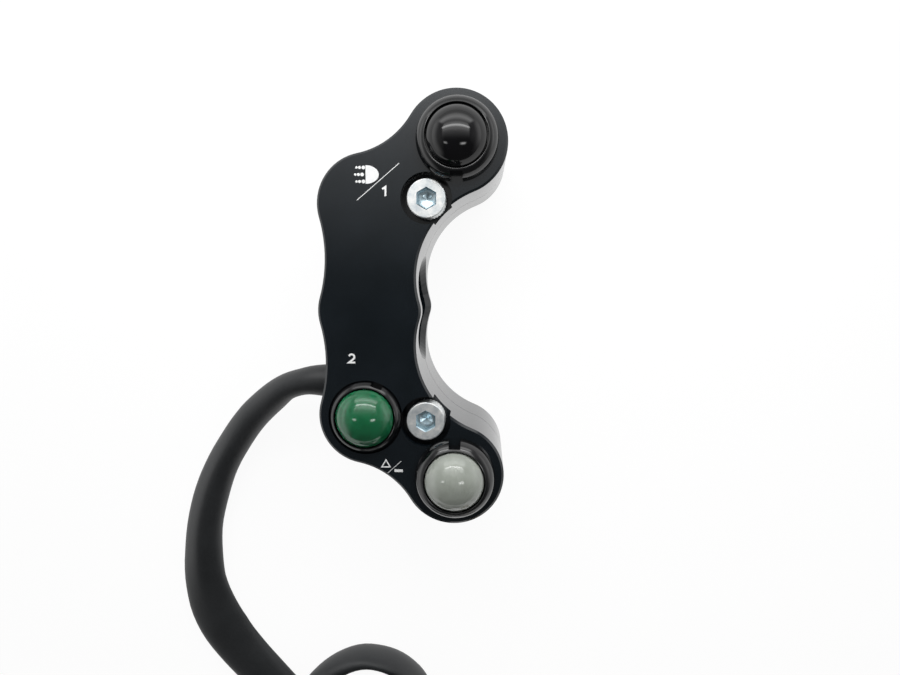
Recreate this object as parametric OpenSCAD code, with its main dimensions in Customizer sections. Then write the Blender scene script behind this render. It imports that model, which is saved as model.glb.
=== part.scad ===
// Handlebar switch cluster: a two-shell bar clamp with three push-button switches and a sleeved cable.
// X runs along the handlebar, +Z comes out of the button face, and the origin is the middle of the bar bore.
// All sizes are in millimetres.

/* [Bar clamp] */
// Diameter of the handlebar that the clamp grips
bar_d = 22.2; // [20:0.1:24]
// Metal between the bar and the button face
crown_t = 5.2; // [5:0.1:8]
// Metal between the bar and the back face
rear_t = 3.6; // [3:0.1:8]
// Gap between the two shells
split_gap = 0.2; // [0.2:0.1:0.8]
// Reach of the clamp along the bar on the grip side, from the middle
grip_reach = 11.4; // [11:0.1:13]
// Reach of the clamp along the bar on the cable side
cable_reach = 11.7; // [11:0.1:13]
// Chamfer on the ends of the bar bore
bore_chamfer = 1.4; // [0.8:0.1:1.6]

/* [Outline] */
// Radius of the swell at the middle of the grip side
grip_swell_r = 6; // [5:0.1:8]
// Radius of the swell at the middle of the cable side
cable_swell_r = 10.9; // [9:0.1:11.4]
// Radius of the end lobes
lobe_r = 11.4; // [10.8:0.1:13]
// Place of the end lobes along the bar
lobe_x = 18.8; // [18:0.1:21]
// Place of the end lobes across the bar
lobe_y = 36.8; // [36:0.1:42]
// Radius of the shoulder lobes
shoulder_r = 11.1; // [10.6:0.1:11.6]
// Place of the shoulder lobes along the bar
shoulder_x = -0.6; // [-2:0.1:0]
// Place of the shoulder lobes across the bar
shoulder_y = 23.6; // [23.3:0.1:26]
// Radius of the hollow on the grip side
grip_hollow_r = 20.1; // [18:0.1:24]
// Radius of the hollow between an end lobe and its shoulder
neck_hollow_r = 18; // [14:0.5:22]
// Radius of the hollows on the cable side
flank_hollow_r = 32.8; // [28:0.1:45]
// Chamfer round the button face
face_chamfer = 0.5; // [0.2:0.1:1]
// Chamfer round the back face
back_chamfer = 0.8; // [0.2:0.1:1.2]

/* [Pockets] */
// Side wall of the switch pockets
wall_t = 2; // [1.6:0.1:2.6]
// Metal between the button face and the pockets
web_t = 6.5; // [6.2:0.1:7]
// Metal under the pockets of the rear shell
floor_t = 3; // [2:0.1:5]
// Width of the wire link between two pockets
link_w = 6; // [4:0.1:7]
// How far the wire link lies outwards of the line between the lobes
link_shift = 1.5; // [1:0.1:1.8]
// Width of the wire slot that crosses in front of the bar
slot_w = 5; // [4.5:0.1:7]
// Depth of the wire slot in front of the bar
slot_h = 2.4; // [2:0.1:2.8]

/* [Clamp screws] */
// Thread diameter of the clamp screws
screw_d = 5; // [4:0.1:5.4]
// Length of the clamp screws under the head
screw_l = 20; // [18:0.5:21]
// Head diameter
screw_head_d = 8.7; // [7:0.1:9.5]
// Head height
screw_head_h = 5; // [4:0.1:5.5]
// Chamfer round the head
screw_edge = 0.25; // [0.2:0.05:0.5]
// Key size of the socket
socket_af = 4; // [3:0.5:5]
// Depth of the socket
socket_h = 2.6; // [2:0.1:3.5]
// Place of the screws along the bar
screw_x = 12.5; // [12:0.1:13]
// Place of the screws across the bar
screw_y = 24.75; // [24.3:0.05:25]
// Diameter of the counterbores
counterbore_d = 11.3; // [10:0.1:11.6]
// Depth of the counterbores
counterbore_h = 5.4; // [5:0.1:6]
// Clearance hole round the screw, added to its diameter
screw_room = 0.3; // [0.2:0.1:0.6]
// Depth of metal left under the tapped holes
tap_floor = 3.5; // [2:0.1:5]

/* [Switches] */
// How far the end switches sit outwards of the middle of their lobes
switch_shift = 0.5; // [0:0.1:0.6]
// How far the end switches sit to the grip side of the middle of their lobes
switch_side = 0.4; // [0:0.1:0.6]
// How far the sunk switch sits outwards of the middle of its shoulder
sunk_shift = 0.4; // [0:0.1:0.6]
// How far the sunk switch sits to the cable side of the middle of its shoulder
sunk_side = 0.5; // [0:0.1:0.6]
// Diameter of the threaded switch barrel
barrel_d = 10; // [9.8:0.1:10.6]
// Length of the barrel below the bezel
barrel_l = 11; // [10.5:0.1:12]
// Bore of the barrel
chamber_d = 8.4; // [8.2:0.1:8.6]
// Diameter of the raised bezels
bezel_d = 18; // [17:0.1:19]
// Height of the raised bezels
bezel_h = 4.2; // [4:0.1:5]
// Diameter of the sunk bezel
sunk_bezel_d = 16.6; // [16:0.1:17]
// Depth of the seat of the sunk bezel
sunk_seat = 1.9; // [1.5:0.1:2.2]
// Height of the sunk bezel
sunk_bezel_h = 3.4; // [3.3:0.1:4]
// Straight edge of a bezel under its round flank
bezel_edge = 1; // [0.8:0.1:1.6]
// Diameter of a bezel's rim
rim_d = 14.2; // [14:0.1:14.8]
// Width of the key notch in a bezel
notch_w = 2.6; // [2:0.1:3.2]
// Diameter of the button caps
cap_d = 13; // [12.4:0.1:13.2]
// Height of a cap's dome
dome_h = 4; // [3:0.1:5]
// Gap round a cap in its bezel
cap_gap = 0.3; // [0.25:0.05:0.4]
// Travel of the buttons
travel = 1.6; // [1:0.1:1.8]
// Diameter of a cap's stem
stem_d = 5.6; // [5:0.1:6]
// Diameter of the snap head on a stem
snap_d = 7.6; // [7.2:0.1:7.8]
// Thickness of the snap head
snap_t = 1.2; // [0.8:0.1:1.5]
// Gap between a stem and the parts that guide it
stem_gap = 0.3; // [0.25:0.05:0.4]
// Thickness of the lip that holds a stem
lip_t = 1; // [0.8:0.1:1.5]
// Diameter of the panel gasket
gasket_d = 14; // [13:0.1:15]
// Thickness of the panel gasket
gasket_t = 0.6; // [0.4:0.1:1]
// Key size of the barrel nut
nut_af = 12.5; // [12.2:0.1:13]
// Thickness of the barrel nut
nut_t = 2.2; // [1.5:0.1:2.5]

/* [Switch contacts] */
// Wire of the return springs
spring_wire_d = 0.45; // [0.35:0.05:0.5]
// Mean diameter of the return springs
spring_d = 6.8; // [6.6:0.1:6.9]
// Curls of a return spring
spring_curls = 5; // [4:1:5]
// Depth of the terminal base inside the barrel
base_plug = 2; // [1.5:0.1:2.5]
// Flange of the terminal base behind the barrel
base_flange = 1.5; // [1:0.1:2]
// Diameter of the terminals
terminal_d = 1.4; // [1:0.1:1.6]
// Distance between the two terminals of a switch
terminal_pitch = 3.6; // [3:0.1:3.8]
// Length of the terminals behind the base
tail_l = 3; // [2:0.1:3.2]
// Height of the terminal heads over the base
contact_h = 1.3; // [1:0.1:1.6]
// Diameter of the contact bridge
bridge_d = 5.4; // [5:0.1:5.6]
// Thickness of the contact bridge
bridge_t = 0.4; // [0.3:0.1:0.6]
// Gap left between bridge and terminals at full travel
bridge_gap = 0.2; // [0.1:0.05:0.3]
// Diameter of the peg that carries the bridge
peg_d = 2; // [1.6:0.1:2.4]

/* [Cable] */
// Diameter of the cable sleeve
cable_d = 8.4; // [7:0.1:8.6]
// Diameter of the grommet
grommet_d = 10; // [9.6:0.1:10.4]
// Diameter of the rib that holds the grommet in its groove
grommet_rib_d = 11.6; // [11:0.1:12]
// Width of that rib
grommet_rib_w = 1.6; // [1:0.1:2]
// How far the grommet stands out of the wall
grommet_nose = 1; // [0.5:0.1:2]
// Diameter of the switch leads
lead_d = 1.2; // [1:0.1:1.3]
// Mean diameter of the outer turn of the coil
coil_d = 93.2; // [90:0.1:100]
// Distance between two turns of the coil, middle to middle
coil_pitch = 9.2; // [8.9:0.1:10]
// Rise between the two layers of the coil
coil_rise = 9; // [8.9:0.1:10]
// Thickness of the tie round the coil
tie_t = 0.6; // [0.4:0.1:0.8]
// Width of the tie
tie_w = 5; // [3:0.1:8]

/* [Connector] */
// Length of the connector shell
plug_l = 26; // [22:0.5:34]
// Width of the connector shell
plug_w = 17; // [16:0.5:22]
// Height of the connector shell
plug_h = 12; // [11:0.5:16]
// Wall of the connector shell
plug_wall = 1.4; // [1:0.1:1.8]
// Distance between two contacts
pin_pitch = 4.5; // [4:0.1:4.7]
// Width of a contact
pin_w = 1.5; // [1:0.1:2]

/* [Hidden] */
$fn = 96;

// A cut runs this far past the face that it opens
over = 1;
// Fit of pieces that stay put in each other
fit = 0.05;
// Clearance between stacked faces that move apart
rest_gap = 0.1;

// Levels along Z
bar_r = bar_d / 2;
face_z = bar_r + crown_t;
back_z = -bar_r - rear_t;
pocket_top = face_z - web_t;
pocket_floor = back_z + floor_t;
counterbore_z = face_z - counterbore_h;

// The outline: lobes joined by hollows, each tangent to the next, the same on both sides of the bar
function tangent_centre(a, ra, b, rb, r, side) =
    let (d = norm(b - a), u = (b - a) / d, p = ra + r, q = rb + r)
    let (x = (d * d + p * p - q * q) / (2 * d), h = sqrt(p * p - x * x))
    a + x * u + side * h * [-u.y, u.x];

grip_swell = [grip_reach - grip_swell_r, 0];
cable_swell = [cable_swell_r - cable_reach, 0];
lobe = [lobe_x, lobe_y];
shoulder = [shoulder_x, shoulder_y];
grip_hollow = tangent_centre(grip_swell, grip_swell_r, lobe, lobe_r, grip_hollow_r, -1);
neck_hollow = tangent_centre(lobe, lobe_r, shoulder, shoulder_r, neck_hollow_r, -1);
flank_hollow = tangent_centre(shoulder, shoulder_r, cable_swell, cable_swell_r, flank_hollow_r, -1);

function flip(p) = [p.x, -p.y];
half_core = [grip_hollow, lobe, neck_hollow, shoulder, flank_hollow];
core = concat(
    [grip_swell], half_core, [cable_swell],
    [for (i = [len(half_core) - 1 : -1 : 0]) flip(half_core[i])]
);
half_lobes = [[lobe, lobe_r], [shoulder, shoulder_r]];
half_hollows = [[grip_hollow, grip_hollow_r], [neck_hollow, neck_hollow_r], [flank_hollow, flank_hollow_r]];
lobes = concat(
    [[grip_swell, grip_swell_r], [cable_swell, cable_swell_r]],
    half_lobes, [for (c = half_lobes) [flip(c[0]), c[1]]]
);
hollows = concat(half_hollows, [for (c = half_hollows) [flip(c[0]), c[1]]]);

// How far the wall on either side stands from the middle, at a distance y from the bar's axis
function arc_height(y, r) = sqrt(r * r - y * y);
function wall_reach(y, swell, r, hollow, hollow_r, side) =
    abs(y) < r * hollow.y / (r + hollow_r)
        ? side * swell.x + arc_height(y, r)
        : side * hollow.x - arc_height(abs(y) - hollow.y, hollow_r);
function grip_wall(y) = wall_reach(y, grip_swell, grip_swell_r, grip_hollow, grip_hollow_r, 1);
function cable_wall(y) = wall_reach(y, cable_swell, cable_swell_r, flank_hollow, flank_hollow_r, -1);

// A slab of the outline, drawn in by low_in at its foot and by top_in at its top
module outline_slab(z0, z1, low_in = 0, top_in = 0) {
    h = z1 - z0;
    slope = (top_in - low_in) / h;
    translate([0, 0, z0]) {
        difference() {
            linear_extrude(h) polygon(core);
            for (c = hollows)
                translate([c[0].x, c[0].y, -over])
                    cylinder(
                        h = h + 2 * over,
                        r1 = c[1] + low_in - slope * over,
                        r2 = c[1] + top_in + slope * over
                    );
        }
        for (c = lobes)
            translate([c[0].x, c[0].y, 0])
                cylinder(h = h, r1 = c[1] - low_in, r2 = c[1] - top_in);
    }
}

// Where the switches sit: place, bezel diameter and height, depth of the seat and direction of the key notch
end_switch = lobe + [switch_side, switch_shift];
sunk_switch = flip(shoulder + [-sunk_side, sunk_shift]);
black = [end_switch, bezel_d, bezel_h, 0, -90];
green = [sunk_switch, sunk_bezel_d, sunk_bezel_h, sunk_seat, 70];
grey = [flip(end_switch), bezel_d, bezel_h, 0, 90];
switches = [black, green, grey];

module at_switch(s) {
    translate([s[0].x, s[0].y, face_z - s[3]]) children();
}

// Bore for the bar, with a chamfer at each end that follows the wall
rim_steps = 48;
rim_middle = bar_r + bore_chamfer / 2;
grip_rim = [for (k = [0 : rim_steps - 1]) grip_wall(rim_middle * cos(360 * k / rim_steps)) - bore_chamfer];
cable_rim = [for (k = [0 : rim_steps - 1]) cable_wall(rim_middle * cos(360 * k / rim_steps)) - bore_chamfer];

module bore_rim(rim) {
    reach = bore_chamfer + over;
    n = rim_steps;
    points = concat(
        [for (k = [0 : n - 1], g = [-over, reach])
            let (a = 360 * k / n)
            [rim[k] + g, (bar_r + g) * cos(a), (bar_r + g) * sin(a)]],
        [[0, 0, 0], [3 * bar_r, 0, 0]]
    );
    faces = [
        for (k = [0 : n - 1])
            let (a = 2 * k, b = 2 * ((k + 1) % n))
            each [[a, a + 1, b + 1], [a, b + 1, b], [2 * n, a, b], [2 * n + 1, b + 1, a + 1]]
    ];
    polyhedron(points, faces);
}

module bar_bore() {
    rotate([0, 90, 0]) cylinder(h = 4 * (grip_reach + cable_reach), r = bar_r, center = true);
    bore_rim(grip_rim);
    mirror([1, 0, 0]) bore_rim(cable_rim);
}

module at_screws() {
    for (side = [-1, 1])
        translate([screw_x, side * screw_y, 0]) children();
}

// Pockets for the switches, linked by channels for the leads
link = lobe - shoulder;
link_angle = atan2(link.y, link.x);

module pocket_plan() {
    for (side = [0, 1])
        mirror([0, side]) {
            translate(lobe) circle(r = lobe_r - wall_t);
            translate(shoulder) circle(r = shoulder_r - wall_t);
            translate(shoulder) rotate(link_angle)
                translate([0, link_shift - link_w / 2]) square([norm(link), link_w]);
        }
}

// The cable outlet: a split hole on the parting plane, with a groove for the grommet's rib
outlet_y = -18.2;
outlet_wall_x = -cable_wall(outlet_y);
outlet_groove_x = -9;
sleeve_end_x = -6.4;
outlet_room = 4.4;

module along_outlet(x) {
    translate([x, outlet_y, 0]) rotate([0, 90, 0]) children();
}

module outlet_hole() {
    along_outlet(outlet_wall_x - 4 * over)
        cylinder(h = sleeve_end_x - outlet_wall_x + 4 * over + outlet_room, r = grommet_d / 2 + fit);
    along_outlet(outlet_groove_x - fit)
        cylinder(h = grommet_rib_w + 2 * fit, r = grommet_rib_d / 2 + fit);
}

// Front shell: the button face with switch seats, counterbores, pockets and the upper half of the bar seat
module front_shell() {
    slot_l = 2 * (shoulder_y - shoulder_r + wall_t) + slot_w;
    color("#17181a") difference() {
        union() {
            outline_slab(split_gap / 2, face_z - face_chamfer);
            outline_slab(face_z - face_chamfer, face_z, 0, face_chamfer);
        }
        bar_bore();
        translate([0, 0, -over]) linear_extrude(pocket_top + over) pocket_plan();
        translate([shoulder_x - slot_w / 2, -slot_l / 2, -over])
            cube([slot_w, slot_l, bar_r + slot_h + over]);
        at_screws() {
            cylinder(h = face_z + over, r = (screw_d + screw_room) / 2);
            translate([0, 0, counterbore_z]) cylinder(h = counterbore_h + over, r = counterbore_d / 2);
        }
        for (s = switches)
            at_switch(s) {
                translate([0, 0, -web_t - over]) cylinder(h = web_t + 2 * over, r = barrel_d / 2 + rest_gap);
                translate([0, 0, -gasket_t]) cylinder(h = gasket_t + over, r = gasket_d / 2 + fit);
                if (s[3] > 0)
                    cylinder(h = s[3] + over, r = s[1] / 2 + rest_gap);
            }
        outlet_hole();
    }
}

// Rear shell: the other half of the clamp, with the tapped holes
module rear_shell() {
    color("#17181a") difference() {
        union() {
            outline_slab(back_z, back_z + back_chamfer, back_chamfer, 0);
            outline_slab(back_z + back_chamfer, -split_gap / 2);
        }
        bar_bore();
        translate([0, 0, pocket_floor]) linear_extrude(-pocket_floor + over) pocket_plan();
        at_screws()
            translate([0, 0, back_z + tap_floor]) cylinder(h = -back_z + over, r = screw_d / 2 + fit);
        outlet_hole();
    }
}

module clamp_screw() {
    difference() {
        union() {
            translate([0, 0, counterbore_z - screw_l]) cylinder(h = screw_l + fit, r = screw_d / 2);
            translate([0, 0, counterbore_z]) cylinder(h = screw_head_h - screw_edge, r = screw_head_d / 2);
            translate([0, 0, counterbore_z + screw_head_h - screw_edge])
                cylinder(h = screw_edge, r1 = screw_head_d / 2, r2 = screw_head_d / 2 - screw_edge);
        }
        translate([0, 0, counterbore_z + screw_head_h - socket_h])
            cylinder(h = socket_h + over, r = socket_af / 2 / cos(30), $fn = 6);
    }
}

module clamp_screws() {
    color("#c9ccce") at_screws() clamp_screw();
}

// Levels inside a switch, down from the seat of its bezel
cup_floor = 0.7;
cap_foot = cup_floor + travel + rest_gap;
snap_top = -lip_t - rest_gap;
snap_foot = snap_top - snap_t;
base_top = -barrel_l + base_plug;
base_foot = -barrel_l - base_flange;
contact_top = base_top + contact_h;
bridge_foot = contact_top + travel + bridge_gap;

// How far outside the rim the key notch begins
notch_in = 0.2;

// How far a bezel's flank stands in from its edge and rim, and how deep it is rooted in the edge
flank_step = 0.05;
flank_root = 0.3;

// Bezel: collar with a round flank, cup for the cap, and the threaded barrel with its lip
module bezel(s) {
    cup_r = cap_d / 2 + cap_gap;
    hole_r = stem_d / 2 + stem_gap;
    rim_r = rim_d / 2;
    rim_round = (rim_r - flank_step - cup_r) / 2;
    rim = [for (a = [180 : -30 : 0]) [cup_r + rim_round * (1 + cos(a)), s[2] + rim_round * (sin(a) - 1)]];
    flank_in = s[1] / 2 - flank_step - rim_r;
    flank_h = s[2] - rim_round - bezel_edge;
    flank_r = (flank_in * flank_in + flank_h * flank_h) / (2 * flank_in);
    difference() {
        union() {
            rotate_extrude() intersection() {
                translate([rim_r + flank_in - flank_r, bezel_edge]) circle(r = flank_r);
                translate([cup_r + rim_round, bezel_edge - flank_root]) square([s[1], flank_h + flank_root]);
            }
            rotate_extrude() polygon(concat(
                [[hole_r, cup_floor], [cup_r, cup_floor]], rim,
                [[rim_r - flank_step, bezel_edge], [s[1] / 2, bezel_edge], [s[1] / 2, 0]],
                [[barrel_d / 2, 0], [barrel_d / 2, -barrel_l], [chamber_d / 2, -barrel_l]],
                [[chamber_d / 2, -lip_t], [hole_r, -lip_t]]
            ));
        }
        rotate(s[4])
            translate([rim_r + notch_in, -notch_w / 2, -over]) cube([s[1], notch_w, s[2] + 2 * over]);
    }
}

// Cap: a dome on a skirt, with the stem that snaps under the lip and the peg for the contact bridge
module cap(s) {
    cap_r = cap_d / 2;
    dome_r = (cap_r * cap_r + dome_h * dome_h) / (2 * dome_h);
    dome_z = s[2];
    peg_foot = bridge_foot - bridge_t / 2;
    rotate_extrude() {
        intersection() {
            translate([0, dome_z + dome_h - dome_r]) circle(r = dome_r);
            translate([0, dome_z]) square([cap_r, dome_h + over]);
        }
        translate([0, cap_foot]) square([cap_r, dome_z - cap_foot]);
        translate([0, snap_top - snap_t / 2]) square([stem_d / 2, cap_foot - snap_top + snap_t]);
        translate([0, snap_foot]) square([snap_d / 2, snap_t]);
        translate([0, peg_foot]) square([peg_d / 2, snap_foot - peg_foot + snap_t / 2]);
    }
}

// A tube of n-sided rings round the points of a route, turned as little as the route allows
function unit(v) = v / norm(v);
function heading(route, i) =
    unit(route[min(i + 1, len(route) - 1)] - route[max(i - 1, 0)]);
function side_of(t) = unit(cross(t, abs(t.z) < 0.9 ? [0, 0, 1] : [1, 0, 0]));
function square_to(v, t) = unit(v - (v * t) * t);
function sides(route) = [
    for (
        i = 0, v = side_of(heading(route, 0));
        i < len(route);
        i = i + 1, v = square_to(v, heading(route, min(i, len(route) - 1)))
    ) v
];

module tube(route, d, n) {
    across = sides(route);
    last = len(route) - 1;
    points = [
        for (i = [0 : last])
            let (t = heading(route, i), u = square_to(across[i], t), w = cross(t, u))
            for (k = [0 : n - 1]) route[i] + d / 2 * (cos(360 * k / n) * u + sin(360 * k / n) * w)
    ];
    walls = [
        for (i = [0 : last - 1], k = [0 : n - 1])
            let (a = i * n + k, b = i * n + (k + 1) % n)
            each [[a, a + n, b], [b, a + n, b + n]]
    ];
    caps = [
        for (k = [1 : n - 2])
            each [[0, k, k + 1], [last * n, last * n + k + 1, last * n + k]]
    ];
    polyhedron(points, concat(walls, caps));
}

// A smooth route through points chosen by hand, with n steps from each to the next
function through(p, i) = p[max(0, min(len(p) - 1, i))];
function between(p, i, t) =
    let (a = through(p, i - 1), b = through(p, i), c = through(p, i + 1), d = through(p, i + 2))
    0.5 * (2 * b + (c - a) * t + (2 * a - 5 * b + 4 * c - d) * t * t + (3 * b - a - 3 * c + d) * t * t * t);
function smooth(p, n) = concat(
    [for (i = [0 : len(p) - 2], k = [0 : n - 1]) between(p, i, k / n)], [p[len(p) - 1]]
);

// Return spring: an open helix between the snap head and the terminal base
module spring() {
    rings = 8;
    top = snap_foot - spring_wire_d / 2 - rest_gap;
    foot = base_top + spring_wire_d / 2 + rest_gap;
    steps = spring_curls * rings;
    tube([
        for (i = [0 : steps])
            let (a = 360 * i / rings)
            [spring_d / 2 * cos(a), spring_d / 2 * sin(a), foot + (top - foot) * i / steps]
    ], spring_wire_d, 6);
}

module gasket() {
    translate([0, 0, -gasket_t]) difference() {
        cylinder(h = gasket_t, r = gasket_d / 2);
        translate([0, 0, -over]) cylinder(h = gasket_t + 2 * over, r = barrel_d / 2 + fit);
    }
}

// Barrel nut: pulls the switch against the web of the front shell
module nut(s) {
    translate([0, 0, s[3] - web_t - nut_t]) difference() {
        cylinder(h = nut_t, r = nut_af / 2 / cos(30), $fn = 6);
        translate([0, 0, -over]) cylinder(h = nut_t + 2 * over, r = barrel_d / 2 + fit);
    }
}

module bridge() {
    translate([0, 0, bridge_foot]) difference() {
        cylinder(h = bridge_t, r = bridge_d / 2);
        translate([0, 0, -over]) cylinder(h = bridge_t + 2 * over, r = peg_d / 2 + fit);
    }
}

module at_terminals() {
    for (side = [-1, 1])
        translate([side * terminal_pitch / 2, 0, 0]) children();
}

module terminal_base() {
    difference() {
        union() {
            translate([0, 0, -barrel_l]) cylinder(h = base_plug, r = chamber_d / 2 - fit);
            translate([0, 0, base_foot]) cylinder(h = base_flange, r = barrel_d / 2);
        }
        at_terminals()
            translate([0, 0, base_foot - over]) cylinder(h = barrel_l, r = terminal_d / 2 + fit);
    }
}

module terminals() {
    at_terminals()
        translate([0, 0, base_foot - tail_l])
            cylinder(h = contact_top - base_foot + tail_l, r = terminal_d / 2);
}

// Leads: two wires from a switch's terminals to the inner end of the sleeve
tail_foot = base_foot - tail_l;

function terminal_end(s, side) =
    [s[0].x + side * terminal_pitch / 2, s[0].y, face_z - s[3] + tail_foot];
function sleeve_slot(angle) =
    [sleeve_end_x, outlet_y + cable_d / 4 * cos(angle), cable_d / 4 * sin(angle)];

// Both ends run straight and square to what they meet
lead_end = 1.5;

module lead(s, side, way, angle) {
    a = terminal_end(s, side);
    b = sleeve_slot(angle);
    bent = concat([a - [0, 0, lead_end]], way, [b + [lead_end, 0, 0]]);
    tube(concat([a], smooth(bent, 3), [b]), lead_d, 8);
}

// Points of the ways: along the link between two pockets, or near a shoulder, on either side of the bar
function link_point(along, across, z, side) =
    let (p = shoulder + along * link + across * [-sin(link_angle), cos(link_angle)])
    [p.x, side * p.y, z];
function shoulder_point(x, y, z, side) = [shoulder_x + x, side * (shoulder_y + y), z];
slot_z = bar_r + slot_h / 2;
slot_1 = shoulder_x - 1.1;
slot_2 = shoulder_x + 0.9;

black_way_1 = [
    link_point(0.76, 1.46, -4, 1), link_point(0.39, 0.57, -4.6, 1), shoulder_point(1.1, 0.5, -2.5, 1),
    [slot_1, 18.6, 3.5], [slot_1, 14, 9], [slot_1, 8, 12], [slot_1, 0, slot_z], [slot_1, -8, 12],
    [slot_1 - 0.2, -13.2, 8.8], [slot_1 - 0.6, -15.4, 4]
];
black_way_2 = [
    link_point(0.81, -0.29, -2.6, 1), link_point(0.44, -0.49, -3, 1), shoulder_point(2.7, 0, -1, 1),
    [slot_2, 18.6, 4.3], [slot_2, 14, 9.6], [slot_2, 8, 12], [slot_2, 0, slot_z], [slot_2, -8, 12],
    [slot_2, -13.2, 9.2], [slot_2 - 0.4, -16.4, 4.4]
];
green_way_1 = [[-4.6, -22.2, -1.6]];
green_way_2 = [[-1.6, -20.8, -3.8]];
grey_way_1 = [
    link_point(0.76, 1.46, -4, -1), link_point(0.39, 0.65, -6.5, -1), shoulder_point(2.1, 0.5, -7.2, -1),
    [-1.2, -19.8, -5.2]
];
grey_way_2 = [
    link_point(0.81, -0.12, -2.8, -1), link_point(0.44, -0.49, -5, -1), shoulder_point(4.3, -0.5, -5.6, -1),
    [-0.6, -18.2, -4.4]
];

module black_leads() {
    color("#8a2f2a") {
        lead(black, -1, black_way_1, 30);
        lead(black, 1, black_way_2, 90);
    }
}

module green_leads() {
    color("#2f6f47") {
        lead(green, -1, green_way_1, 150);
        lead(green, 1, green_way_2, 210);
    }
}

module grey_leads() {
    color("#b7b9b4") {
        lead(grey, -1, grey_way_1, 270);
        lead(grey, 1, grey_way_2, 330);
    }
}

// Grommet: a rubber bush with a rib, held in the groove of both shells
module cable_grommet() {
    grommet_l = sleeve_end_x - outlet_wall_x + grommet_nose;
    color("#1b1b1c") difference() {
        union() {
            along_outlet(outlet_wall_x - grommet_nose) cylinder(h = grommet_l, r = grommet_d / 2);
            along_outlet(outlet_groove_x) cylinder(h = grommet_rib_w, r = grommet_rib_d / 2);
        }
        along_outlet(outlet_wall_x - grommet_nose - over)
            cylinder(h = grommet_l + 2 * over, r = cable_d / 2 + fit);
    }
}

// The coil: one tube that spirals in on the table, climbs in half a turn and spirals out on top of itself
coil_middle = [1, -194];
coil_start = 150;
coil_in = 360;
coil_climb = 180;
coil_out = 30;
coil_rings = 24;
coil_z = back_z + cable_d / 2 + tie_t + 0.3;

coil_back = coil_in + coil_climb / 2;
function coil_radius(a) = coil_d / 2 - coil_pitch / 360 * (a < coil_back ? a : 2 * coil_back - a);
function coil_climbed(a) = max(0, min(1, (a - coil_in) / coil_climb));
function coil_lift(a) = coil_rise * (1 - cos(180 * coil_climbed(a))) / 2;
function coil_point(a) =
    let (r = coil_radius(a), b = coil_start + a)
    [coil_middle.x + r * cos(b), coil_middle.y + r * sin(b), coil_z + coil_lift(a)];
coil_sweep = coil_in + coil_climb + coil_out;
coil_steps = ceil(coil_sweep * coil_rings / 360);
coil_turns = [for (i = [0 : coil_steps]) coil_point(coil_sweep * i / coil_steps)];
coil_first = unit(coil_point(1) - coil_point(0));
coil_last = unit(coil_point(coil_sweep) - coil_point(coil_sweep - 1));
coil_head = coil_turns[0] - cable_d * coil_first;
coil_tail = coil_turns[coil_steps] + cable_d * coil_last;
coil_route = concat([coil_head], coil_turns, [coil_tail]);
coil_gap = min([
    for (i = [0 : coil_steps], j = [0 : coil_steps])
        if (j - i > coil_rings / 2) norm(coil_turns[i] - coil_turns[j])
]) - cable_d;
echo(coil_gap_mm = coil_gap);

module cable_coil() {
    color("#232425") tube(coil_route, cable_d, 6);
}

// The lead: from the grommet down to the table, round in a wide bend, over itself in a loop and on to the coil
table_z = back_z + cable_d / 2;
lead_points = [
    [-18.5, -18.6, -0.4], [-25, -21.2, -2.6], [-32, -26.5, -5.8], [-38.7, -33.5, -8.6],
    [-44.6, -42.5, -10.2], [-48.8, -53.5, table_z], [-50.9, -66, table_z], [-50.3, -78, table_z],
    [-46.6, -89, table_z], [-39.9, -98, table_z], [-31.4, -106.6, table_z], [-22.9, -114.8, table_z],
    [-14.4, -121.8, table_z], [-5.4, -125.2, table_z], [2.8, -123.4, table_z], [8.2, -117.6, table_z],
    [10, -110, -10.2], [7.9, -102.3, -9.8], [2.2, -96.7, -9], [-5.6, -94.6, -7.6],
    [-13.4, -96.7, -5.4], [-19, -102.3, -3.2], [-21.5, -110, -1.3], [-22, -118.5, -0.8],
    [-22.7, -127.5, -2.4], [-24.6, -137, -5.2], [-27.5, -146.8, -8]
];
sleeve_end = [sleeve_end_x, outlet_y, 0];
sleeve_out = [outlet_wall_x - grommet_nose - over, outlet_y, 0];
sleeve_bends = concat([sleeve_out], lead_points, [coil_head - cable_d * coil_first]);

module cable_lead() {
    color("#232425") tube(concat([sleeve_end], smooth(sleeve_bends, 2), [coil_head]), cable_d, 10);
}

// The tail: straight off the top of the coil and down to the connector in one long slope
tail_slope = 30;
tail_run = tail_slope + 2 * cable_d;
tail_steps = 8;
plug_z = back_z + plug_h / 2;
function eased(t) = t * t * (3 - 2 * t);
function tail_point(run) =
    let (t = max(0, min(1, (run - cable_d) / tail_slope)))
    [
        coil_tail.x + run * coil_last.x, coil_tail.y + run * coil_last.y,
        coil_tail.z + (plug_z - coil_tail.z) * eased(t)
    ];
plug_back = tail_point(tail_run);
tail_route = concat(
    [coil_tail], [for (i = [0 : tail_steps]) tail_point(cable_d + tail_slope * i / tail_steps)], [plug_back]
);

module cable_tail() {
    color("#232425") tube(tail_route, cable_d, 10);
}

// The tie: a band round the two strands of the coil
tie_angle = 177;
tie_room = 0.3;

module tie_section(grow) {
    hull()
        for (a = [tie_angle, tie_angle + 360])
            translate([coil_radius(a), coil_z + coil_lift(a)]) circle(r = cable_d / 2 + grow, $fn = 32);
}

module cable_tie() {
    color("#2a2b2c")
        translate([coil_middle.x, coil_middle.y, 0]) rotate([0, 0, coil_start + tie_angle])
            rotate([90, 0, 0]) translate([0, 0, -tie_w / 2]) linear_extrude(tie_w) difference() {
                tie_section(tie_room + tie_t);
                tie_section(tie_room);
            }
}

// The connector: a six-way shell that lies on the table, with a latch on top and its contacts inside
plug_angle = atan2(coil_last.y, coil_last.x);
plug_mouth = 9;
plug_neck = 5;
plug_round = 1;
latch_w = 6;
latch_h = 1.2;
pin_root = 8;
pin_shy = 2;

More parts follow.
